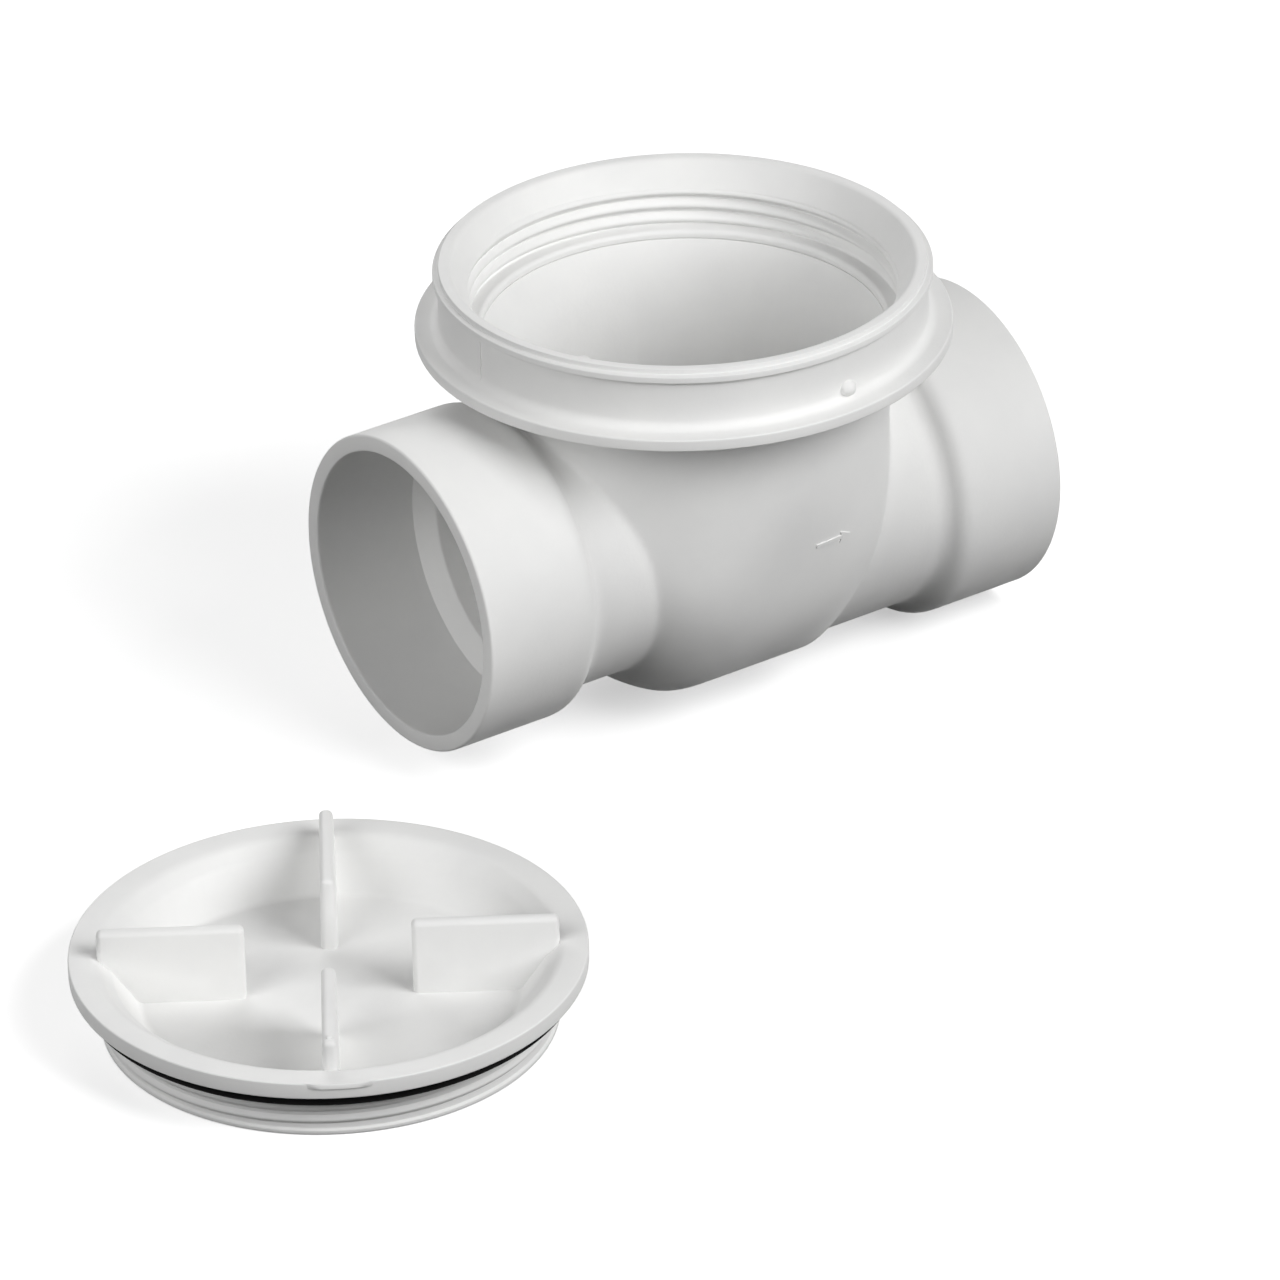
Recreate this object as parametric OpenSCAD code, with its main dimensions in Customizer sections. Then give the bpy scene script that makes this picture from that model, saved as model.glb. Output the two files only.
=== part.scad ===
// Backwater valve for a gravity drain, shown with its screw cover taken off and laid beside it.
// Millimetres, +Z up, +X along the flow. The origin is the centre of the inlet socket's mouth.

/* [Pipe sockets] */
// radius of the two pipe sockets
socket_r = 53.65; // [48:0.05:58]
// depth of a socket from its mouth to the pipe stop
socket_depth = 42; // [34:1:50]
// wall of a socket hub
hub_wall = 6.35; // [5:0.05:8]
// step from a socket down to the bore behind it
stop_step = 5.15; // [4:0.05:6]
// length of the sloped pipe stop
stop_length = 7; // [4:0.5:9]
// wall of the necks between hubs and chamber
neck_wall = 4.7; // [4:0.1:6]
// straight outside length of the inlet hub before its shoulder
inlet_straight = 46; // [42:0.5:50]
// straight outside length of the outlet hub before its shoulder
outlet_straight = 40; // [37:0.5:44]
// radius of the two arcs of a hub's shoulder
shoulder_arc = 7; // [5:0.5:9]

/* [Body] */
// length from mouth to mouth
body_length = 256; // [246:1:275]
// distance from the inlet mouth to the axis of the chamber
chamber_x = 128; // [124:0.5:134]
// how far the outlet lies below the inlet
outlet_drop = 13.2; // [8:0.2:18]
// wall of the chamber
chamber_wall = 5; // [4:0.1:6]
// height at which the chamber's wall turns into its bowl
bowl_z = -1; // [-6:0.5:4]
// how much the chamber narrows from its opening to its waist
chamber_taper = 4.2; // [3:0.1:6]
// lean of the trough's sides where they leave the upright wall
trough_lean = 11; // [8:0.5:16]

/* [Access collar] */
// height of the collar flange's underside above the inlet axis
flange_z = 68.6; // [67:0.1:76]
// thickness of the collar flange
flange_t = 4.6; // [3.5:0.1:6]
// width of the flange beyond the collar's wall
flange_width = 8.8; // [5:0.1:12]
// height of the rim's top face above the inlet axis
rim_z = 97.2; // [92:0.1:102]
// height of the sloped lip that takes the cover's ring
lip_depth = 11.2; // [7:0.1:13]

/* [Flapper] */
// lean of the seat from upright, so that the flapper closes by its own weight
seat_lean = 8; // [5:0.5:10]
// thickness of the seat ring
seat_t = 5; // [4:0.1:6]
// thickness of the flapper's gasket
gasket_t = 3; // [2:0.1:4]
// thickness of the flapper's plate
flapper_t = 5; // [4:0.1:6]
// radius of the hinge pin
pin_r = 2.5; // [2:0.1:3]
// running clearance of the flapper on its pin
pin_gap = 0.05; // [0.02:0.01:0.1]

/* [Cover] */
// radius of the cover's plug
plug_r = 79.4; // [77:0.1:82]
// height of the cover from plug to flange top
cover_h = 27; // [22:0.5:28]
// thickness of the cover's flange
cover_flange_t = 6.2; // [4:0.1:7]
// width of the cover's flange beyond its plug
cover_flange_width = 9.6; // [7:0.1:12]
// plain land between the cover's flange and the groove of its ring
ring_land = 1.2; // [0.5:0.1:4]
// depth of the dish below the flange's top
dish_depth = 18; // [14:0.5:20]
// height of the grip fins above the flange's top
grip_rise = 10; // [6:0.5:14]
// thickness of a grip fin
grip_t = 4.8; // [3:0.1:6]
// distance from the cover's centre to a fin's inner end
grip_inner_r = 29; // [20:0.5:40]
// where the cover lies along the flow
cover_x = -117; // [-160:1:-100]
// where the cover lies across the flow
cover_y = -128; // [-200:1:-115]
// turn of the cover where it lies
cover_turn = -33; // [-180:1:180]

/* [Hidden] */
$fn = 96;
white = [0.93, 0.93, 0.92];
black = [0.05, 0.05, 0.05];
// overrun of a cutting tool past the face it cuts
over = 1;

// hubs and necks
hub_r = socket_r + hub_wall;
bore_r = socket_r - stop_step;
neck_r = bore_r + neck_wall;
hub_step = hub_r - neck_r;
shoulder_length = sqrt(4 * hub_step * shoulder_arc - hub_step * hub_step);
mouth_round = 1;

// collar, worked outwards from the cover's plug
plug_gap = 0.4;
collar_bore_r = plug_r + plug_gap;
lip_flare = 4.8;
rim_in_r = collar_bore_r + lip_flare;
rim_width = 4.6;
rim_out_r = rim_in_r + rim_width;
bead_r = rim_out_r + 2.2;
bead_t = 2.4;
rim_step = 1.7;
bead_top_z = rim_z - rim_step;
collar_wall_r = bead_r - 1.9;
flange_r = collar_wall_r + flange_width;
collar_cove = 2.5;
ledge_width = 5.9;
ledge_r = collar_bore_r - ledge_width;
ledge_z = flange_z + 3.4;

// chamber
opening_r = ledge_r + chamber_wall;
waist_r = opening_r - chamber_taper;
flare_z = flange_z - 9;
flare_r = waist_r + 0.8;
bowl_r = waist_r - 3.7;
bottom_margin = 1;
chamber_bottom = -(outlet_drop + neck_r + bottom_margin);
hub_plane = flare_r + 0.5;
inlet_plane = chamber_x - hub_plane;
outlet_plane = chamber_x + hub_plane;
outlet_length = body_length - chamber_x;
trough_r = waist_r - 5.8;
trough_z = chamber_bottom + trough_r;
floor_z = -(outlet_drop + hub_r);

// seat and flapper
seat_r = bore_r + 5;
seat_hole_r = bore_r - 1;
seat_tube_r = bore_r + 4;
seat_side_gap = 2;
seat_room = waist_r - chamber_wall - seat_side_gap;
seat_x = chamber_x - sqrt(seat_room * seat_room - seat_r * seat_r);
flapper_r = bore_r + 4;
gasket_in_r = bore_r - 3;
gasket_out_r = flapper_r - 0.5;
plate_z = seat_t + gasket_t;
hinge_out = flapper_r + 5;
knuckle_r = pin_r + 2.5;
hinge_z = plate_z + knuckle_r - 1;
arm_half = 8;
ear_gap = 0.8;
ear_t = 4;
pin_half = arm_half + ear_gap + ear_t;

// cover
cover_flange_r = plug_r + cover_flange_width;
groove_r = plug_r - 0.5;
o_ring_r = 2.7;
groove_h = 2 * o_ring_r + 0.2;
groove_z = -cover_flange_t - ring_land - groove_h;
dish_top_r = plug_r + 1;
dish_brow_r = plug_r - 4;
dish_brow_z = -5;
dish_floor_r = plug_r - 13;
floor_t = 4;
cover_round = 1.2;
cover_z = floor_z + cover_h;

// rounds the outer corner at [r, z] of a profile that lies below and inside it
module corner_cut(r, z, round_r) {
    translate([r - round_r, z - round_r])
    difference() {
        square(round_r + over);
        circle(round_r);
    }
}

// fills the inner corner at [r, z] between a wall on its left and a face below it
module cove(r, z, cove_r) {
    translate([r, z])
    difference() {
        square(cove_r);
        translate([cove_r, cove_r]) circle(cove_r);
    }
}

// a cylinder along +X from x0 to x1 at height z
module pipe(x0, x1, z, r) {
    translate([x0, 0, z])
    rotate([0, 90, 0])
    cylinder(r = r, h = x1 - x0);
}

// a round bar across the flow, from -half to half
module cross_bar(x, z, r, half) {
    translate([x, half, z])
    rotate([90, 0, 0])
    cylinder(r = r, h = 2 * half);
}

// outside of a hub: straight, then an arc out and an arc in down to the neck
module hub_outline(straight, length) {
    bend_r = neck_r + hub_step / 2;
    tail_z = straight + shoulder_length;
    difference() {
        union() {
            square([hub_r, straight]);
            translate([hub_r - shoulder_arc, straight]) circle(shoulder_arc);
            square([bend_r, tail_z]);
            square([neck_r, length]);
        }
        translate([neck_r + shoulder_arc, tail_z]) circle(shoulder_arc);
        translate([hub_r - mouth_round, 0])
        difference() {
            translate([0, -over]) square([mouth_round + over, mouth_round + over]);
            translate([0, mouth_round]) circle(mouth_round);
        }
    }
}

// the stretch of a hub and its neck between two depths from the mouth
module hub_stretch(straight, depth0, depth1) {
    rotate_extrude()
    intersection() {
        hub_outline(straight, depth1);
        translate([0, depth0]) square([2 * hub_r, depth1 - depth0]);
    }
}

// a socket hub with its mouth at the origin, running inwards along +Z
module pipe_hub(straight, length) {
    difference() {
        hub_stretch(straight, 0, length);
        translate([0, 0, -over]) cylinder(r = socket_r, h = socket_depth + over);
        translate([0, 0, socket_depth]) cylinder(r1 = socket_r, r2 = bore_r, h = stop_length);
        translate([0, 0, socket_depth]) cylinder(r = bore_r, h = length);
    }
}

// turns a hub's own frame to the inlet mouth
module at_inlet() {
    rotate([0, 90, 0])
    children();
}

// turns a hub's own frame to the outlet mouth
module at_outlet() {
    translate([body_length, 0, -outlet_drop])
    rotate([0, -90, 0])
    children();
}

module inlet_hub() {
    color(white)
    at_inlet()
    pipe_hub(inlet_straight, inlet_plane);
}

module outlet_hub() {
    color(white)
    at_outlet()
    pipe_hub(outlet_straight, body_length - outlet_plane);
}

// half section of the chamber, inset by a wall
module chamber_half(inset) {
    arc_r = bowl_r - inset;
    hub = waist_r - bowl_r;
    union() {
        polygon([
            [0, bowl_z],
            [waist_r - inset, bowl_z],
            [flare_r - inset, flare_z],
            [opening_r - inset, flange_z],
            [0, flange_z]
        ]);
        intersection() {
            translate([hub, bowl_z]) circle(arc_r);
            translate([hub, bowl_z - arc_r]) square([arc_r, arc_r]);
        }
        translate([0, bowl_z - arc_r]) square([hub, arc_r]);
    }
}

// cross section of the trough, inset by a wall: a round floor between two leaning sides
module trough_section(inset) {
    arc_r = trough_r - inset;
    side_y = arc_r * cos(trough_lean);
    side_z = trough_z - arc_r * sin(trough_lean);
    top_y = side_y + (flange_z - side_z) * tan(trough_lean);
    union() {
        translate([0, trough_z]) circle(arc_r);
        polygon([[side_y, side_z], [top_y, flange_z], [-top_y, flange_z], [-side_y, side_z]]);
    }
}

// the chamber's form: round in plan, with a trough along the flow for its floor
module chamber_form(inset) {
    translate([chamber_x, 0, 0])
    intersection() {
        rotate_extrude() chamber_half(inset);
        translate([-2 * waist_r, 0, 0])
        rotate([90, 0, 90])
        linear_extrude(4 * waist_r) trough_section(inset);
    }
}

// turns to the leaning seat: +Z leaves the seat downstream, -X points up to the hinge
module at_seat() {
    translate([seat_x, 0, 0])
    rotate([0, 90 - seat_lean, 0])
    children();
}

// the inlet's end inside the chamber, cut square to the leaning seat
module seat_tube() {
    difference() {
        intersection() {
            pipe(inlet_plane, chamber_x, 0, seat_tube_r);
            chamber_form(chamber_wall);
        }
        pipe(inlet_plane - over, chamber_x, 0, bore_r);
        at_seat() cylinder(r = 2 * waist_r, h = 2 * chamber_x);
    }
}

module chamber() {
    color(white)
    difference() {
        chamber_form(0);
        chamber_hollow();
        pipe(inlet_plane - over, chamber_x, 0, bore_r);
        pipe(chamber_x, outlet_plane + over, -outlet_drop, bore_r);
    }
}

module inlet_neck() {
    color(white)
    difference() {
        at_inlet() hub_stretch(inlet_straight, inlet_plane, chamber_x);
        chamber_form(0);
        pipe(inlet_plane - over, chamber_x, 0, bore_r);
    }
}

module outlet_neck() {
    color(white)
    difference() {
        at_outlet() hub_stretch(outlet_straight, body_length - outlet_plane, outlet_length);
        chamber_form(0);
        pipe(chamber_x, outlet_plane + over, -outlet_drop, bore_r);
    }
}

// the chamber's hollow, open through the top
module chamber_hollow() {
    chamber_form(chamber_wall);
    translate([chamber_x, 0, flange_z - over]) cylinder(r = ledge_r - over, h = 2 * over);
}

// half section of the collar: flange, wall, bead, rim, sloped lip, bore and ledge
module collar_half() {
    wall_top = bead_top_z - bead_t;
    difference() {
        union() {
            translate([0, flange_z]) square([flange_r, flange_t]);
            translate([0, flange_z]) square([collar_wall_r, bead_top_z - flange_z]);
            translate([0, wall_top]) square([bead_r, bead_t]);
            translate([0, flange_z]) square([rim_out_r, rim_z - flange_z]);
            cove(collar_wall_r, flange_z + flange_t, collar_cove);
        }
        translate([0, flange_z - over]) square([ledge_r, rim_z]);
        polygon([
            [0, ledge_z],
            [collar_bore_r, ledge_z],
            [collar_bore_r, rim_z - lip_depth],
            [rim_in_r, rim_z],
            [rim_in_r, rim_z + over],
            [0, rim_z + over]
        ]);
        corner_cut(flange_r, flange_z + flange_t, mouth_round);
        corner_cut(bead_r, bead_top_z, mouth_round);
    }
}

module access_collar() {
    color(white)
    translate([chamber_x, 0, 0])
    rotate_extrude() collar_half();
}

// one of the two ears that hold the hinge pin
module hinge_ear(side) {
    ear_low = min(side * (arm_half + ear_gap), side * pin_half);
    translate([-hinge_out - knuckle_r, ear_low, seat_t - over])
    cube([2 * knuckle_r, ear_t, hinge_z - seat_t + over]);
    translate([-hinge_out, ear_low + ear_t, hinge_z])
    rotate([90, 0, 0])
    cylinder(r = knuckle_r, h = ear_t);
}

// the pad that carries the ears above the ring
module ear_pad() {
    pad_x = -hinge_out - knuckle_r;
    translate([pad_x, -pin_half, 0])
    cube([hinge_out + knuckle_r - seat_hole_r - 2, 2 * pin_half, seat_t]);
}

module seat_ring() {
    color(white)
    union() {
        seat_tube();
        at_seat()
        difference() {
            union() {
                cylinder(r = seat_r, h = seat_t);
                ear_pad();
                hinge_ear(1);
                hinge_ear(-1);
            }
            translate([0, 0, -over]) cylinder(r = seat_hole_r, h = seat_t + 2 * over);
            cross_bar(-hinge_out, hinge_z, pin_r, pin_half + over);
        }
    }
}

module hinge_pin() {
    color(white)
    at_seat()
    cross_bar(-hinge_out, hinge_z, pin_r, pin_half);
}

module flapper_disc() {
    color(white)
    at_seat()
    difference() {
        union() {
            translate([0, 0, plate_z]) cylinder(r = flapper_r, h = flapper_t);
            translate([0, 0, seat_t]) cylinder(r = gasket_in_r, h = gasket_t + over);
            cross_bar(-hinge_out, hinge_z, knuckle_r, arm_half);
            translate([-hinge_out, -arm_half, plate_z + 0.5])
            cube([hinge_out - gasket_in_r, 2 * arm_half, flapper_t + 1.5]);
        }
        cross_bar(-hinge_out, hinge_z, pin_r + pin_gap, arm_half + over);
    }
}

module flapper_gasket() {
    color(black)
    at_seat()
    translate([0, 0, seat_t])
    difference() {
        cylinder(r = gasket_out_r, h = gasket_t);
        translate([0, 0, -over]) cylinder(r = gasket_in_r, h = gasket_t + 2 * over);
    }
}

// the cover's own frame, with its origin at the centre of the flange's top
module at_cover() {
    translate([cover_x, cover_y, cover_z])
    rotate([0, 0, cover_turn])
    children();
}

// half section of the dish, open upwards by the given height
module dish_half(rise) {
    polygon([
        [0, -dish_depth],
        [dish_floor_r, -dish_depth],
        [dish_brow_r, dish_brow_z],
        [dish_top_r, 0],
        [dish_top_r, rise],
        [0, rise]
    ]);
}

module cover_half() {
    recess_r = dish_floor_r + 4;
    difference() {
        union() {
            translate([0, -cover_flange_t]) square([cover_flange_r, cover_flange_t]);
            translate([0, -cover_flange_t - ring_land]) square([plug_r, ring_land + cover_flange_t]);
            translate([0, -cover_h]) square([groove_r, cover_h]);
            translate([0, -cover_h]) square([plug_r, cover_h + groove_z]);
        }
        dish_half(over);
        translate([0, -cover_h - over]) square([recess_r, cover_h - dish_depth - floor_t + over]);
        corner_cut(cover_flange_r, 0, cover_round);
    }
}

module cover_cap() {
    color(white)
    at_cover()
    rotate_extrude() cover_half();
}

module cover_grips() {
    color(white)
    at_cover()
    intersection() {
        rotate_extrude() dish_half(grip_rise);
        for (turn = [0 : 90 : 270]) {
            rotate([0, 0, turn])
            translate([grip_inner_r, -grip_t / 2, -cover_h])
            cube([cover_flange_r, grip_t, cover_h + 2 * grip_rise]);
        }
    }
}

module cover_o_ring() {
    color(black)
    at_cover()
    rotate_extrude()
    difference() {
        translate([groove_r + o_ring_r - 0.2, groove_z + groove_h / 2]) circle(o_ring_r);
        translate([0, -cover_h]) square([groove_r, cover_h]);
    }
}

chamber();
inlet_neck();
outlet_neck();
inlet_hub();
outlet_hub();
access_collar();
seat_ring();
hinge_pin();
flapper_disc();
flapper_gasket();
cover_cap();
cover_grips();
cover_o_ring();
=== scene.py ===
"""Looks of the backwater valve: a white moulded body with its access collar, and the screw cover beside it."""

import math

import bpy
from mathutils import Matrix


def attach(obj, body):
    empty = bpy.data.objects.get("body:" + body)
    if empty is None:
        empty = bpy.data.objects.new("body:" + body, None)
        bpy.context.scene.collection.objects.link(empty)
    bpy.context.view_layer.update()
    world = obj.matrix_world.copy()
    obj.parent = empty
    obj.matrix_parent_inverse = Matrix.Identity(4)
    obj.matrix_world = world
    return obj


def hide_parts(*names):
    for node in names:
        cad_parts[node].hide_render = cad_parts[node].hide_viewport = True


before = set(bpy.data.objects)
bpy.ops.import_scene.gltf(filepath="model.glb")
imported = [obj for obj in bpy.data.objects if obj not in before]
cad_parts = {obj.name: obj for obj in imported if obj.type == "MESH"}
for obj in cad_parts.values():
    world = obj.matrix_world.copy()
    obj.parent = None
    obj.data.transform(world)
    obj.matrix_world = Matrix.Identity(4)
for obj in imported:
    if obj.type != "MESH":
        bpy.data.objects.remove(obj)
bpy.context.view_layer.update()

# Sizes in millimetres. Most are the part's own; where the photograph shows a softer form, they follow it.
MM = 0.001

# Hubs and necks
SOCKET_R, SOCKET_DEPTH, STOP_LENGTH = 53.65, 42, 7
HUB_R, NECK_R, BORE_R, SHOULDER_ARC = 60, 53.2, 48.5, 7
INLET_STRAIGHT, OUTLET_STRAIGHT = 41.5, 40
MOUTH_SPARE, MOUTH_ROUND = 5, 1
TRIM_R, TRIM_BACK, BORE_REACH = 72, 12, 134

# Chamber
BODY_LENGTH, CHAMBER_X, OUTLET_Z = 256, 128, -13.2
CHAMBER_AXIS = (CHAMBER_X, 0, 0)  # the collar's axis too
WAIST_R, FLARE_R, OPENING_R, BOWL_R, BOWL_Z = 74.7, 75.5, 78.9, 71, -1
BOWL_SLIM, SLIM_START, SLIM_SPAN, SLIM_EASE = 2.8, 28, 62, 0.3  # mm, degrees, degrees, radians
FLARE_Z, FLANGE_Z, CHAMBER_WALL = 59.6, 68.6, 5
TROUGH_R, TROUGH_Z, TROUGH_LEAN, TROUGH_LENGTH = 68.9, 1.5, math.radians(11), 320
BLOCK_TOP, HOLLOW_TOP, TOP_SPARE, TOP_TRIM = 100, 90, 10, 130
CHAMBER_VOXEL, BODY_VOXEL = 1.5, 1.3
CHAMBER_PASSES, SIDE_PASSES, NECK_PASSES = 30, 360, 2
SIDE_Y, SIDE_Z = (34, 54), (-56, -36)  # where the softened sides fade in

# Flow arrow on the chamber's front
ARROW_TAIL, ARROW_BARB, ARROW_HEAD, ARROW_TIP = 135.4, 146.4, 147.0, 151.6
ARROW_HALF, BARB_HALF = 0.75, 2.3
ARROW_PLACE, ARROW_THICKNESS = (0, -110, 5.9), 1.0

# Collar
COLLAR_WALL_R = 89.5
SEAM_Z, SEAM_SIZE, SEAM_BEVEL = 83.7, (0.9, 1.1, 17.8), 0.12
PIP_BEARING, PIP_Z = -84.4, 77.6  # degrees, mm

# Cover
COVER_PLACE, COVER_TURN = (-117, -128, -46.2), math.radians(-33)
FIN_TOP, FIN_FOOT, FIN_THICKNESS, FIN_TAPER, FIN_ROUND = 10, -20.6, 6.2, 0.2, 2.0
DISH_Z = -18
# Ring larger and higher than the part's own, so its black rubber also stands in for the shade under the flange's
# edge: painted shade
RING_MIDDLE_R, RING_Z, RING_R = 85.2, -8.8, 2.6
PAD_START, PAD_SWEEP, PAD_RUNOUT = -113, 16, 3  # degrees
PAD_FOOT_R, PAD_RISE = 90.3, 0.9

# Thread ridges
RIDGE_STEPS, RIDGE_RUNOUT, RIDGE_POWER = 110, 14, 1.2

# Bench and stage: lengths in metres, the lens and sensor in millimetres
MERGE_REACH = 2e-6
FLOOR_SIZE, FLOOR_Z = 12, -0.0733
FLOOR_DARK, FLOOR_PALE = (0.02, 0.02, 0.02, 1), (0.92, 0.92, 0.92, 1)
LIFT_REACH, LIFT_STRENGTH = (0.5, 1.6), (0.5, 1.0)
LAMP_AIM, LAMP_SIZE, ROOM_LIGHT = (0.05, -0.05, 0), 1.5, 0.045
CAMERA_PLACE, CAMERA_LENS, CAMERA_SENSOR = (-1.554506, -2.40781, 1.546923), 253.125, 36
CAMERA_TURN = (61.299, 1.097, -35.185)  # degrees

# Sockets of the mix node by number: first, second and result
COLOUR_MIX, VALUE_MIX = (6, 7, 2), (2, 3, 0)


# Bench work: selecting, placing and cutting


def clear_selection():
    """Leaves edit mode and deselects everything."""
    if bpy.context.mode != "OBJECT":
        bpy.ops.object.mode_set(mode="OBJECT")
    bpy.ops.object.select_all(action="DESELECT")


def pick(piece):
    """Makes one piece the only selected and active one."""
    clear_selection()
    bpy.context.view_layer.objects.active = piece
    piece.select_set(True)


def edit_all(piece):
    """Opens one piece in edit mode with all of it selected."""
    pick(piece)
    bpy.ops.object.mode_set(mode="EDIT")
    bpy.ops.mesh.select_all(action="SELECT")


def set_place(piece, turn=(0, 0, 0), place=(0, 0, 0)):
    """Turns and moves a piece, and puts its place into its mesh."""
    pick(piece)
    piece.rotation_euler = turn
    piece.location = [v * MM for v in place]
    bpy.ops.object.transform_apply(location=True, rotation=True, scale=True)
    return piece


def apply_modifier(piece, kind, **settings):
    """Adds a modifier with its settings and applies it."""
    pick(piece)
    modifier = piece.modifiers.new(kind.lower(), kind)
    for name, value in settings.items():
        setattr(modifier, name, value)
    bpy.ops.object.modifier_apply(modifier=modifier.name)
    return piece


def combine(piece, tool, operation, solver="MANIFOLD"):
    """Joins, cuts or intersects a piece with a tool, which is used up."""
    apply_modifier(piece, "BOOLEAN", object=tool, operation=operation, solver=solver)
    pick(tool)
    bpy.ops.object.delete()
    return piece


def smooth_shade(piece, angle):
    """Shades a piece smooth up to an edge angle in degrees."""
    pick(piece)
    bpy.ops.object.shade_smooth_by_angle(angle=math.radians(angle))
    return piece


def slide_to(vertex, radius):
    """Slides a vertex straight in or out to a radius about the upright axis."""
    scale = radius / math.hypot(vertex.co.x, vertex.co.y)
    vertex.co.x *= scale
    vertex.co.y *= scale


# Numbers, outlines and turned pieces


def spread(start, end, count):
    """Evenly spaced numbers from start to end."""
    return [start + (end - start) * i / (count - 1) for i in range(count)]


def ramp(value, low, high):
    """0 below low, 1 above high, straight between."""
    return max(0.0, min(1.0, (value - low) / (high - low)))


def rounded(corners, closed=False, parts=6):
    """Corners (radius, height, round) as points, with an arc at each corner that has a round."""
    points = []
    for i, (x, z, bend) in enumerate(corners):
        end = not closed and i in (0, len(corners) - 1)
        if not bend or end:
            points.append((x, z))
            continue
        before, after = corners[i - 1], corners[(i + 1) % len(corners)]
        la = math.hypot(before[0] - x, before[1] - z)
        lb = math.hypot(after[0] - x, after[1] - z)
        ax, az = (before[0] - x) / la, (before[1] - z) / la
        bx, bz = (after[0] - x) / lb, (after[1] - z) / lb
        half = math.acos(max(-1, min(1, ax * bx + az * bz))) / 2
        reach = min(bend / math.tan(half), 0.49 * la, 0.49 * lb)
        arc_r = reach * math.tan(half)
        middle = math.hypot(ax + bx, az + bz)
        out = arc_r / math.sin(half) / middle
        cx, cz = x + (ax + bx) * out, z + (az + bz) * out
        first = math.atan2(z + az * reach - cz, x + ax * reach - cx)
        last = math.atan2(z + bz * reach - cz, x + bx * reach - cx)
        sweep = (last - first + math.pi) % math.tau - math.pi
        for turn in spread(first, first + sweep, parts + 1):
            points.append((cx + arc_r * math.cos(turn), cz + arc_r * math.sin(turn)))
    if closed:
        points.append(points[0])
    return points


def draw_outline(name, points):
    """Draws a chain of edges through points (x, z) by extruding one vertex, and stays in edit mode."""
    clear_selection()
    x, z = points[0]
    bpy.ops.mesh.primitive_plane_add(size=MM, location=(x * MM, 0, z * MM))
    piece = bpy.context.object
    piece.name = piece.data.name = name
    bpy.ops.object.transform_apply(location=True)
    bpy.ops.object.mode_set(mode="EDIT")
    bpy.ops.mesh.select_all(action="SELECT")
    bpy.ops.mesh.merge(type="CENTER")
    for here, there in zip(points, points[1:]):
        step = ((there[0] - here[0]) * MM, 0, (there[1] - here[1]) * MM)
        bpy.ops.mesh.extrude_vertices_move(TRANSFORM_OT_translate={"value": step})
    return piece


def draw_loop(name, points):
    """Draws a closed outline, merges its ends, and stays in edit mode with all of it selected."""
    piece = draw_outline(name, points + points[:1])
    bpy.ops.mesh.select_all(action="SELECT")
    bpy.ops.mesh.remove_doubles(threshold=MERGE_REACH)
    return piece


def close_up():
    """Merges seams and poles, turns all faces outwards and leaves edit mode."""
    bpy.ops.mesh.select_all(action="SELECT")
    bpy.ops.mesh.remove_doubles(threshold=MERGE_REACH)
    bpy.ops.mesh.normals_make_consistent(inside=False)
    bpy.ops.object.mode_set(mode="OBJECT")


def fill_ends():
    """Fills the open ends of a swept piece, in edit mode."""
    bpy.ops.mesh.select_all(action="SELECT")
    bpy.ops.mesh.fill_holes(sides=0)


def turned(name, points, steps=144):
    """A turned piece: an outline of (radius, height) spun about the upright axis."""
    piece = draw_outline(name, points)
    bpy.ops.mesh.select_all(action="SELECT")
    bpy.ops.mesh.spin(steps=steps, angle=math.tau, center=(0, 0, 0), axis=(0, 0, 1))
    close_up()
    return piece


def slab(name, points, thickness):
    """A flat outline (x, z) filled and extruded along Y, half to each side."""
    piece = draw_loop(name, points)
    bpy.ops.mesh.edge_face_add()
    bpy.ops.transform.translate(value=(0, -thickness / 2 * MM, 0))
    bpy.ops.mesh.extrude_region_move(TRANSFORM_OT_translate={"value": (0, thickness * MM, 0)})
    close_up()
    return piece


# Valve body: one moulding of chamber, necks and hubs


def shoulder(straight):
    """Points (radius, depth) of a hub's S-shaped shoulder down to its neck."""
    bend = math.acos(1 - (HUB_R - NECK_R) / 2 / SHOULDER_ARC)
    tail = straight + 2 * SHOULDER_ARC * math.sin(bend)
    points = []
    for turn in spread(0, bend, 8):
        drop, along = SHOULDER_ARC * (1 - math.cos(turn)), SHOULDER_ARC * math.sin(turn)
        points.append((HUB_R - drop, straight + along))
    for turn in spread(bend, 0, 8)[1:]:
        drop, along = SHOULDER_ARC * (1 - math.cos(turn)), SHOULDER_ARC * math.sin(turn)
        points.append((NECK_R + drop, tail - along))
    return points


def hub_block(name, straight):
    """A hub and its neck as a solid, a little over length at the mouth."""
    mouth = [(0, -MOUTH_SPARE), (HUB_R, -MOUTH_SPARE)]
    return turned(name, mouth + shoulder(straight) + [(NECK_R, CHAMBER_X), (0, CHAMBER_X)])


def hub_bore(name):
    """The cutter of a socket, its pipe stop and the bore behind it, which also trims the mouth's face."""
    back = [(0, -TRIM_BACK), (TRIM_R, -TRIM_BACK)]
    edge = [(TRIM_R, 0.9), (HUB_R, 0.9)]
    for turn in (20, 45, 70, 90):
        bend = math.radians(turn)
        edge.append((HUB_R - MOUTH_ROUND + MOUTH_ROUND * math.cos(bend), MOUTH_ROUND - MOUTH_ROUND * math.sin(bend)))
    lead_in = [(SOCKET_R + 0.9, 0), (SOCKET_R + 0.35, 0.2), (SOCKET_R + 0.08, 0.6)]
    stop = [
        (SOCKET_R, 1.2, 0),
        (SOCKET_R, SOCKET_DEPTH, 0.8),
        (BORE_R, SOCKET_DEPTH + STOP_LENGTH, 2),
        (BORE_R, BORE_REACH, 0),
    ]
    return turned(name, back + edge + lead_in + rounded(stop) + [(0, BORE_REACH)])


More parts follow.
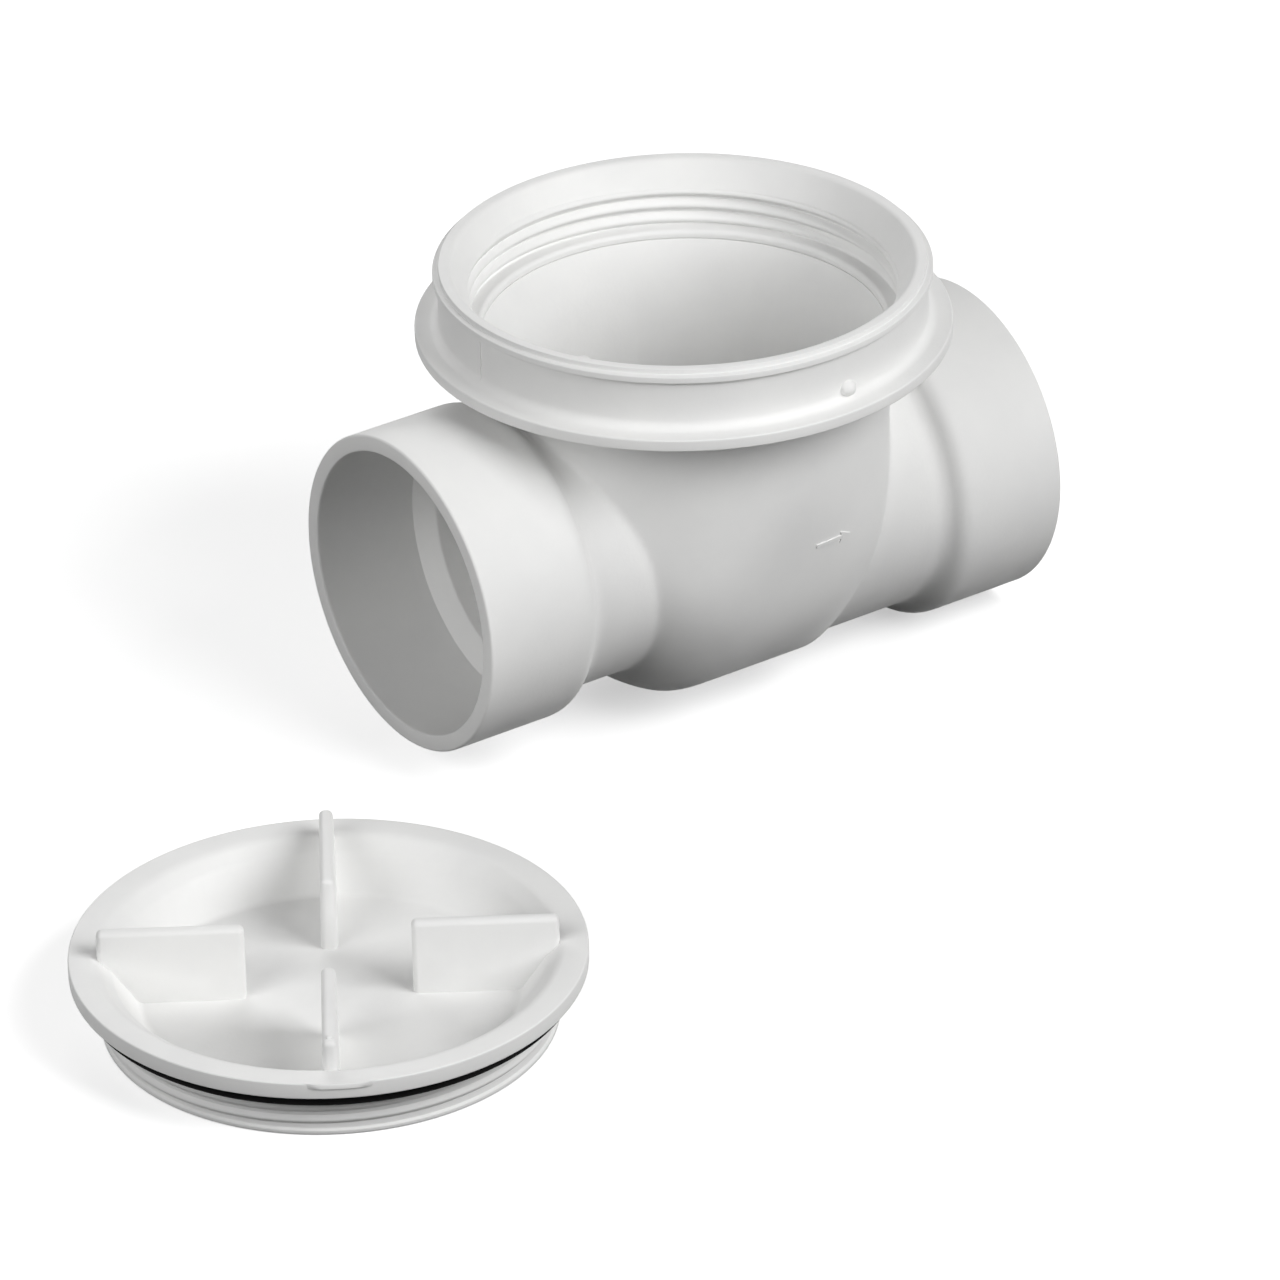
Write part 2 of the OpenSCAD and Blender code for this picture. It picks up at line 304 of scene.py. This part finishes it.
def chamber_block(name, inset, top):
    """The chamber's form inset by a wall: round in plan, with a trough along the flow for its floor."""
    arc_r, middle = BOWL_R - inset, WAIST_R - BOWL_R
    outline = [(0, BOWL_Z - arc_r)]
    for turn in spread(0, math.pi / 2, 30):
        wave = math.sin(math.pi * (math.degrees(turn) - SLIM_START) / SLIM_SPAN)
        slim = BOWL_SLIM * wave * ramp(turn, 0, SLIM_EASE)
        outline.append((middle + arc_r * math.sin(turn) - slim, BOWL_Z - arc_r * math.cos(turn)))
    outline += [(FLARE_R - inset, FLARE_Z), (OPENING_R - inset, FLANGE_Z), (OPENING_R - inset, top), (0, top)]
    block = set_place(turned(name, outline), place=CHAMBER_AXIS)
    arc_r = TROUGH_R - inset
    section = []
    for turn in spread(math.pi + TROUGH_LEAN, math.tau - TROUGH_LEAN, 60):
        section.append((arc_r * math.cos(turn), TROUGH_Z + arc_r * math.sin(turn)))
    side_y, side_z = section[-1]
    over = top + TOP_SPARE
    top_y = side_y + (over - side_z) * math.tan(TROUGH_LEAN)
    section += [(top_y, over), (-top_y, over)]
    trough = set_place(slab(name + "_trough", section, TROUGH_LENGTH), (0, 0, -math.pi / 2), CHAMBER_AXIS)
    return combine(block, trough, "INTERSECT", "EXACT")


def soft_zone(piece, name, weight):
    """A vertex group weighted by place, for smoothing only where the moulding is soft."""
    group = piece.vertex_groups.new(name=name)
    for vertex in piece.data.vertices:
        share = weight(vertex.co / MM)
        if share > 0:
            group.add([vertex.index], share, "REPLACE")


def at_inlet(piece):
    """Lays a turned piece along the inlet, its start at the mouth."""
    return set_place(piece, (0, math.pi / 2, 0))


def at_outlet(piece):
    """Lays a turned piece along the outlet, its start at the mouth."""
    return set_place(piece, (0, -math.pi / 2, 0), (BODY_LENGTH, 0, OUTLET_Z))


def make_body():
    """The chamber is softened first, then joined with the hubs, filleted at the necks and bored out."""
    body = chamber_block("valve_body", 0, BLOCK_TOP)
    apply_modifier(body, "REMESH", mode="VOXEL", voxel_size=CHAMBER_VOXEL * MM, use_smooth_shade=True)
    apply_modifier(body, "SMOOTH", factor=0.5, iterations=CHAMBER_PASSES)
    soft_zone(body, "sides", lambda p: ramp(abs(p.y), *SIDE_Y) * ramp(p.z, *SIDE_Z))
    apply_modifier(body, "SMOOTH", factor=0.5, iterations=SIDE_PASSES, vertex_group="sides")
    body.vertex_groups.clear()
    combine(body, at_inlet(hub_block("inlet_block", INLET_STRAIGHT)), "UNION")
    combine(body, at_outlet(hub_block("outlet_block", OUTLET_STRAIGHT)), "UNION")
    apply_modifier(body, "REMESH", mode="VOXEL", voxel_size=BODY_VOXEL * MM, use_smooth_shade=True)
    apply_modifier(body, "SMOOTH", factor=0.5, iterations=NECK_PASSES)
    trim = turned("top_trim", [(0, FLANGE_Z), (TOP_TRIM, FLANGE_Z), (TOP_TRIM, TOP_TRIM), (0, TOP_TRIM)])
    combine(body, set_place(trim, place=CHAMBER_AXIS), "DIFFERENCE")
    combine(body, chamber_block("hollow", CHAMBER_WALL, HOLLOW_TOP), "DIFFERENCE")
    combine(body, at_inlet(hub_bore("inlet_bore")), "DIFFERENCE")
    combine(body, at_outlet(hub_bore("outlet_bore")), "DIFFERENCE")
    return smooth_shade(body, 34)


def make_arrow(body):
    """The raised flow arrow: a flat outline laid on the chamber's front and thickened."""
    outline = [(x, -ARROW_HALF) for x in spread(ARROW_TAIL, ARROW_HEAD, 12)]
    outline += [(ARROW_BARB, -BARB_HALF), (ARROW_TIP, 0), (ARROW_BARB, BARB_HALF)]
    outline += [(x, ARROW_HALF) for x in spread(ARROW_HEAD, ARROW_TAIL, 12)]
    arrow = draw_loop("flow_arrow", outline)
    bpy.ops.mesh.edge_face_add()
    bpy.ops.mesh.quads_convert_to_tris()
    bpy.ops.object.mode_set(mode="OBJECT")
    set_place(arrow, place=ARROW_PLACE)
    apply_modifier(
        arrow, "SHRINKWRAP", target=body, wrap_method="PROJECT", use_project_y=True, use_negative_direction=False
    )
    apply_modifier(arrow, "SOLIDIFY", thickness=ARROW_THICKNESS * MM, offset=0)
    edit_all(arrow)
    close_up()
    return smooth_shade(arrow, 40)


# Access collar


def make_collar():
    """The turned collar: flange, wall, bead, stepped rim, sloped lip, bore and ledge."""
    corners = [
        (73.9, FLANGE_Z, 0.6), (98.3, FLANGE_Z, 0.6), (98.3, 73.2, 0.7),
        (COLLAR_WALL_R, 73.2, 3.5), (COLLAR_WALL_R, 92.0, 0.3),
        (91.2, 92.1, 0.4), (91.2, 94.6, 0.5), (89.2, 95.0, 0.2), (89.0, 96.8, 0.35), (85.1, 96.8, 2.5),
        (78.3, 86.3, 1.5), (80.2, 83.2, 1.2), (80.2, 72, 0.8), (73.9, 72, 2.4),
    ]
    collar = turned("access_collar_rim", rounded(corners, closed=True), 192)
    return smooth_shade(set_place(collar, place=CHAMBER_AXIS), 40)


def thread_ridge(name, root_r, crest_r, width, pitch, turns, start_z, start_turn, place):
    """A screw ridge: a low rounded hump swept round and up, with its ends run out into the wall."""
    rise = crest_r - root_r
    hump = []
    for part in spread(-1, 1, 9):
        hump.append((root_r + rise * math.cos(part * math.pi / 2) ** RIDGE_POWER, part * width / 2))
    back_r = root_r - 0.5 * rise
    outline = [(back_r, -width / 2)] + hump + [(back_r, width / 2)]
    ridge = draw_loop(name, outline)
    bpy.ops.object.mode_set(mode="OBJECT")
    steps, count = int(RIDGE_STEPS * turns), len(outline)
    sweep, climb = math.tau * turns, pitch * turns * MM
    apply_modifier(ridge, "SCREW", axis="Z", angle=sweep, screw_offset=climb, steps=steps, render_steps=steps)
    for vertex in ridge.data.vertices:
        step = vertex.index // count
        share = min(1.0, step / RIDGE_RUNOUT, (steps - step) / RIDGE_RUNOUT)
        radius = math.hypot(vertex.co.x, vertex.co.y)
        slide_to(vertex, back_r * MM + (radius - back_r * MM) * max(0.05, share))
    edit_all(ridge)
    fill_ends()
    close_up()
    set_place(ridge, (0, 0, start_turn), (place[0], place[1], place[2] + start_z))
    return smooth_shade(ridge, 50)


def on_collar(radius, bearing, height):
    """A place on the collar from its radius, bearing in degrees and height."""
    turn = math.radians(bearing)
    return (CHAMBER_X + radius * math.cos(turn), radius * math.sin(turn), height)


def make_pip(name, radius, height, stretch, turn, place):
    """A small moulded dome, turned, stretched along its width and laid against its wall."""
    outline = [(radius * math.cos(t), height * math.sin(t)) for t in spread(0, math.pi / 2, 10)]
    pip = turned(name, [(0, -1), (radius, -1)] + outline, 32)
    edit_all(pip)
    bpy.ops.transform.resize(value=(stretch, 1, 1))
    bpy.ops.object.mode_set(mode="OBJECT")
    return smooth_shade(set_place(pip, turn, place), 50)


def make_seam(name, bearing):
    """The parting seam up the collar's wall: a thin bevelled strip."""
    middle = (COLLAR_WALL_R * MM, 0, SEAM_Z * MM)
    clear_selection()
    bpy.ops.mesh.primitive_cube_add(size=MM, location=middle)
    seam = bpy.context.object
    seam.name = seam.data.name = name
    bpy.ops.object.transform_apply(location=True)
    edit_all(seam)
    bpy.ops.transform.resize(value=SEAM_SIZE, center_override=middle)
    bpy.ops.mesh.bevel(offset=SEAM_BEVEL * MM, segments=2, affect="EDGES")
    bpy.ops.object.mode_set(mode="OBJECT")
    return smooth_shade(set_place(seam, (0, 0, bearing), CHAMBER_AXIS), 50)


# Screw cover


def at_cover(piece, turn=0.0):
    """Puts a piece made about the cover's own axis where the cover lies."""
    return set_place(piece, (0, 0, COVER_TURN + turn), COVER_PLACE)


def make_cap():
    """The turned cap: soft dish on top, flange, ring groove, plug and hollow underside."""
    corners = [
        (0, DISH_Z, 0), (66.4, DISH_Z, 3.5), (75.4, -5, 8), (80.8, -0.3, 6),
        (90.6, 0, 0.6), (90.6, -6.2, 0.6), (80.2, -6.2, 0.8),
        (80.2, -7.4, 0.2), (79.7, -7.4, 0.2), (79.7, -13, 0.2), (80.2, -13, 0.2),
        (80.2, -15.6, 0.4), (79.3, -16.2, 0.4), (79.3, -24.6, 0.5), (80.2, -25.2, 0.5), (80.2, -27, 1.0),
        (70.4, -27, 0.8), (70.4, -22, 1.5), (0, -22, 0),
    ]
    return smooth_shade(at_cover(turned("cover_cap_dish", rounded(corners), 192)), 40)


def make_fin():
    """One grip fin: an upright plate that follows the dish, thinner at its top, with rounded edges."""
    outline = [(29, FIN_FOOT), (29, FIN_TOP), (80.3, FIN_TOP), (80.6, -1), (78.5, -5.5), (69.0, FIN_FOOT)]
    fin = slab("cover_fin", outline, FIN_THICKNESS)
    for vertex in fin.data.vertices:
        vertex.co.y *= 1 - FIN_TAPER * ramp(vertex.co.z / MM, DISH_Z, FIN_TOP)
    edit_all(fin)
    bpy.ops.mesh.bevel(offset=FIN_ROUND * MM, segments=5, affect="EDGES")
    close_up()
    return fin


def make_fins():
    """The four fins, modelled once and copied round the cover's axis."""
    first = make_fin()
    fins = [first]
    for _ in range(3):
        fin = first.copy()
        fin.data = first.data.copy()
        bpy.context.collection.objects.link(fin)
        fins.append(fin)
    for number, fin in enumerate(fins):
        fin.name = fin.data.name = f"cover_fin_{number + 1}"
        smooth_shade(at_cover(fin, number * math.pi / 2), 40)
    return fins


def make_seal_ring_and_shade_band():
    """The black sealing ring close under the cap's flange. It is set larger and higher than the part's own ring, so
    its black also fills the band of shade along the flange's lower edge: partly real rubber, partly painted shade.
    """
    section = []
    for turn in spread(0, math.tau, 25):
        section.append((RING_MIDDLE_R + RING_R * math.cos(turn), RING_Z + RING_R * math.sin(turn)))
    return smooth_shade(at_cover(turned("cover_seal_ring_and_painted_shade", section, 192)), 60)


def make_edge_pad():
    """A shallow pad on the flange's front edge, spun through a short arc and run out at its ends."""
    section = [
        (87.6, -2.6), (90.4, -2.6), (91.2, -1.9), (91.2, -0.5), (90.9, -0.06), (90.0, -0.01), (87.6, -0.9),
    ]
    pad = draw_loop("cover_edge_pad", section)
    bpy.ops.mesh.spin(steps=12, angle=math.radians(PAD_SWEEP), center=(0, 0, 0), axis=(0, 0, 1))
    fill_ends()
    close_up()
    half = PAD_SWEEP / 2
    for vertex in pad.data.vertices:
        radius = math.hypot(vertex.co.x, vertex.co.y)
        turn = math.degrees(math.atan2(vertex.co.y, vertex.co.x))
        share = ramp(half - abs(abs(turn) - half), 0, PAD_RUNOUT)
        slide_to(vertex, min(radius, (PAD_FOOT_R + PAD_RISE * share) * MM))
    return smooth_shade(at_cover(pad, math.radians(PAD_START) - COVER_TURN), 40)


# Finishes


def new_group(name, inputs, outputs):
    """A shader node group with its sockets, its nodes and its ends."""
    group = bpy.data.node_groups.new(name, "ShaderNodeTree")
    for label, kind, value in inputs:
        socket = group.interface.new_socket(label, in_out="INPUT", socket_type=kind)
        socket.default_value = value
    for label, kind in outputs:
        group.interface.new_socket(label, in_out="OUTPUT", socket_type=kind)
    return group, group.nodes.new("NodeGroupInput"), group.nodes.new("NodeGroupOutput")


def feed(links, value, socket):
    """Sets a socket to a number, or links another socket to it."""
    if isinstance(value, (int, float)):
        socket.default_value = value
    else:
        links.new(value, socket)


def noise(group, coordinates, scale, detail, roughness):
    """A noise texture on object coordinates, with lumps of about one over scale metres."""
    node = group.nodes.new("ShaderNodeTexNoise")
    node.inputs["Detail"].default_value = detail
    node.inputs["Roughness"].default_value = roughness
    feed(group.links, scale, node.inputs["Scale"])
    group.links.new(coordinates.outputs["Object"], node.inputs["Vector"])
    return node.outputs["Fac"]


def fit_range(group, value, low, high, from_low=0.3, from_high=0.7):
    """Maps a noise value to a range."""
    node = group.nodes.new("ShaderNodeMapRange")
    node.inputs["From Min"].default_value = from_low
    node.inputs["From Max"].default_value = from_high
    feed(group.links, low, node.inputs["To Min"])
    feed(group.links, high, node.inputs["To Max"])
    group.links.new(value, node.inputs["Value"])
    return node.outputs["Result"]


def blend(group, kind, share, first, second):
    """Mixes two sockets, colours or values, by a share."""
    node = group.nodes.new("ShaderNodeMix")
    node.data_type = kind
    at_first, at_second, result = COLOUR_MIX if kind == "RGBA" else VALUE_MIX
    feed(group.links, share, node.inputs["Factor"])
    group.links.new(first, node.inputs[at_first])
    group.links.new(second, node.inputs[at_second])
    return node.outputs[result]


def make_moulded_skin():
    """Moulded surface: clouded colour, uneven sheen, and a faint orange peel over slow waves."""
    group, start, end = new_group(
        "moulded_skin",
        [
            ("Colour", "NodeSocketColor", (0.8, 0.8, 0.8, 1)),
            ("Cloud Colour", "NodeSocketColor", (0.75, 0.75, 0.75, 1)),
            ("Cloud Scale", "NodeSocketFloat", 22.0),
            ("Peel Scale", "NodeSocketFloat", 700.0),
            ("Least Roughness", "NodeSocketFloat", 0.34),
            ("Most Roughness", "NodeSocketFloat", 0.52),
        ],
        [("Colour", "NodeSocketColor"), ("Roughness", "NodeSocketFloat"), ("Height", "NodeSocketFloat")],
    )
    place = group.nodes.new("ShaderNodeTexCoord")
    clouds = noise(group, place, start.outputs["Cloud Scale"], detail=5.0, roughness=0.6)
    share = fit_range(group, clouds, 0.0, 1.0, from_low=0.35)
    colour = blend(group, "RGBA", share, start.outputs["Colour"], start.outputs["Cloud Colour"])
    handling = noise(group, place, 55.0, detail=6.0, roughness=0.7)
    dull = fit_range(group, handling, start.outputs["Least Roughness"], start.outputs["Most Roughness"])
    peel = noise(group, place, start.outputs["Peel Scale"], detail=2.0, roughness=0.5)
    waves = noise(group, place, 90.0, detail=1.0, roughness=0.4)
    height = blend(group, "FLOAT", 0.55, peel, waves)
    group.links.new(colour, end.inputs["Colour"])
    group.links.new(dull, end.inputs["Roughness"])
    group.links.new(height, end.inputs["Height"])
    return group


def make_finish(name, skin, colour, cloud, cloud_scale, peel_scale, bump, reach, ior, roughness):
    """A material that wears the moulded skin with its own values."""
    material = bpy.data.materials.new(name)
    material.use_nodes = True
    nodes, links = material.node_tree.nodes, material.node_tree.links
    shader = nodes["Principled BSDF"]
    shader.inputs["IOR"].default_value = ior
    worn = nodes.new("ShaderNodeGroup")
    worn.node_tree = skin
    worn.inputs["Colour"].default_value = (*colour, 1)
    worn.inputs["Cloud Colour"].default_value = (*cloud, 1)
    worn.inputs["Cloud Scale"].default_value = cloud_scale
    worn.inputs["Peel Scale"].default_value = peel_scale
    worn.inputs["Least Roughness"].default_value, worn.inputs["Most Roughness"].default_value = roughness
    relief = nodes.new("ShaderNodeBump")
    relief.inputs["Strength"].default_value = bump
    relief.inputs["Distance"].default_value = reach
    links.new(worn.outputs["Colour"], shader.inputs["Base Color"])
    links.new(worn.outputs["Roughness"], shader.inputs["Roughness"])
    links.new(worn.outputs["Height"], relief.inputs["Height"])
    links.new(relief.outputs["Normal"], shader.inputs["Normal"])
    return material


def dress(piece, material):
    """Gives a piece or a node its finish."""
    piece.data.materials.clear()
    piece.data.materials.append(material)


def wear(piece, material, body):
    """Gives a piece its finish and the body that it moves with."""
    dress(piece, material)
    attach(piece, body)


# Stage, light and camera


def seen_plainly(nodes, links):
    """1 where the camera looks straight, by reflection or through something; 0 for the rays that carry light."""
    path = nodes.new("ShaderNodeLightPath")
    total = path.outputs["Is Camera Ray"]
    for kind in ("Is Glossy Ray", "Is Transmission Ray"):
        add = nodes.new("ShaderNodeMath")
        add.operation = "ADD"
        add.use_clamp = True
        links.new(total, add.inputs[0])
        links.new(path.outputs[kind], add.inputs[1])
        total = add.outputs[0]
    return total


def make_floor():
    """A plain pale floor that shows white, keeps the shadow and throws little light back up."""
    clear_selection()
    bpy.ops.mesh.primitive_plane_add(size=FLOOR_SIZE, location=(0, 0, FLOOR_Z))
    floor = bpy.context.object
    floor.name = "floor"
    material = bpy.data.materials.new("pale_floor")
    material.use_nodes = True
    nodes, links = material.node_tree.nodes, material.node_tree.links
    shader = nodes["Principled BSDF"]
    shader.inputs["Roughness"].default_value = 0.9
    shader.inputs["Specular IOR Level"].default_value = 0.0
    shader.inputs["Emission Color"].default_value = (1, 1, 1, 1)
    plain = seen_plainly(nodes, links)
    seen = nodes.new("ShaderNodeMix")
    seen.data_type = "RGBA"
    at_dark, at_pale, result = COLOUR_MIX
    seen.inputs[at_dark].default_value = FLOOR_DARK
    seen.inputs[at_pale].default_value = FLOOR_PALE
    links.new(plain, seen.inputs["Factor"])
    links.new(seen.outputs[result], shader.inputs["Base Color"])
    # Further off, where the lamps don't reach, the floor is lifted to white
    place = nodes.new("ShaderNodeTexCoord")
    reach = nodes.new("ShaderNodeVectorMath")
    reach.operation = "LENGTH"
    links.new(place.outputs["Object"], reach.inputs[0])
    fade = nodes.new("ShaderNodeMapRange")
    fade.inputs["From Min"].default_value, fade.inputs["From Max"].default_value = LIFT_REACH
    fade.inputs["To Min"].default_value, fade.inputs["To Max"].default_value = LIFT_STRENGTH
    links.new(reach.outputs["Value"], fade.inputs["Value"])
    lift = nodes.new("ShaderNodeMath")
    lift.operation = "MULTIPLY"
    links.new(plain, lift.inputs[0])
    links.new(fade.outputs["Result"], lift.inputs[1])
    links.new(lift.outputs[0], shader.inputs["Emission Strength"])
    floor.data.materials.append(material)


def make_lamp(name, place, power):
    """A square soft box that faces the part."""
    clear_selection()
    bpy.ops.object.light_add(type="AREA", location=place)
    lamp = bpy.context.object
    lamp.name = name
    lamp.data.shape = "SQUARE"
    lamp.data.size = LAMP_SIZE
    lamp.data.energy = power
    way = [a - b for a, b in zip(LAMP_AIM, place)]
    flat = math.hypot(way[0], way[1])
    lamp.rotation_euler = (math.atan2(flat, -way[2]), 0, math.atan2(way[1], way[0]) - math.pi / 2)


def make_world():
    """Even room light; the camera sees plain white behind the floor."""
    world = bpy.data.worlds.new("room")
    bpy.context.scene.world = world
    world.use_nodes = True
    nodes, links = world.node_tree.nodes, world.node_tree.links
    back = nodes["Background"]
    back.inputs["Color"].default_value = (1, 1, 1, 1)
    seen = nodes.new("ShaderNodeMapRange")
    seen.inputs["To Min"].default_value = ROOM_LIGHT
    seen.inputs["To Max"].default_value = 1.0
    links.new(seen_plainly(nodes, links), seen.inputs["Value"])
    links.new(seen.outputs["Result"], back.inputs["Strength"])


def make_camera():
    """The photograph's angle, from far off with a long lens."""
    clear_selection()
    bpy.ops.object.camera_add(location=CAMERA_PLACE)
    camera = bpy.context.object
    camera.name = "photo_camera"
    camera.rotation_euler = [math.radians(angle) for angle in CAMERA_TURN]
    camera.data.sensor_width = CAMERA_SENSOR
    camera.data.lens = CAMERA_LENS
    bpy.context.scene.camera = camera


skin = make_moulded_skin()
white_plastic = make_finish(
    "white_plastic", skin, colour=(0.83, 0.83, 0.82), cloud=(0.79, 0.79, 0.785), cloud_scale=22, peel_scale=700,
    bump=0.12, reach=0.0006, ior=1.3, roughness=(0.48, 0.64),
)
black_rubber = make_finish(
    "black_rubber", skin, colour=(0.004, 0.004, 0.004), cloud=(0.007, 0.007, 0.007), cloud_scale=60, peel_scale=1100,
    bump=0.2, reach=0.0004, ior=1.12, roughness=(0.75, 0.9),
)

body = make_body()
collar = make_collar()
collar_thread = thread_ridge(
    "collar_thread", root_r=80.2, crest_r=77.9, width=4.8, pitch=5.5, turns=2.45,
    start_z=73.6, start_turn=math.radians(-10), place=CHAMBER_AXIS,
)
cap = make_cap()
cap_thread = thread_ridge(
    "cover_thread", root_r=79.3, crest_r=80.4, width=3.4, pitch=4.6, turns=1.9,
    start_z=-24.4, start_turn=COVER_TURN, place=COVER_PLACE,
)
fins = make_fins()
ring = make_seal_ring_and_shade_band()
edge_pad = make_edge_pad()
arrow = make_arrow(body)
foot_pip = make_pip(
    "collar_pip", radius=3.3, height=3.2, stretch=0.9,
    turn=(0, math.pi / 2, math.radians(PIP_BEARING)), place=on_collar(COLLAR_WALL_R, PIP_BEARING, PIP_Z),
)
seams = [make_seam("collar_seam_inlet", math.pi), make_seam("collar_seam_outlet", 0)]
fin_pip = make_pip("cover_fin_pip", radius=1.3, height=0.8, stretch=1, turn=(0, 0, 0), place=(77, 0, FIN_TOP))
at_cover(fin_pip, -math.pi / 2)

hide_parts("chamber", "inlet_neck", "outlet_neck", "inlet_hub", "outlet_hub")
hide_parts("access_collar")
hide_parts("cover_cap")
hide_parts("cover_o_ring")
for piece in (body, collar, collar_thread, arrow, foot_pip, *seams):
    wear(piece, white_plastic, "valve")
for piece in (cap, cap_thread, edge_pad, fin_pip, *fins):
    wear(piece, white_plastic, "cover")
for fin in fins:
    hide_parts("cover_grips")
# The black ring also carries the painted shade under the cover's flange
wear(ring, black_rubber, "cover")
for node in ("seat_ring", "hinge_pin", "flapper_disc"):
    dress(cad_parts[node], white_plastic)
dress(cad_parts["flapper_gasket"], black_rubber)

make_floor()
make_world()
make_lamp("left_box", (-2.05, -0.442, 1.2), 28)
make_lamp("front_box", (0.786, -1.873, 1.377), 52)
make_lamp("back_box", (0.7, 2.0, 1.1), 19)
make_camera()
bpy.context.scene.view_settings.view_transform = "Standard"
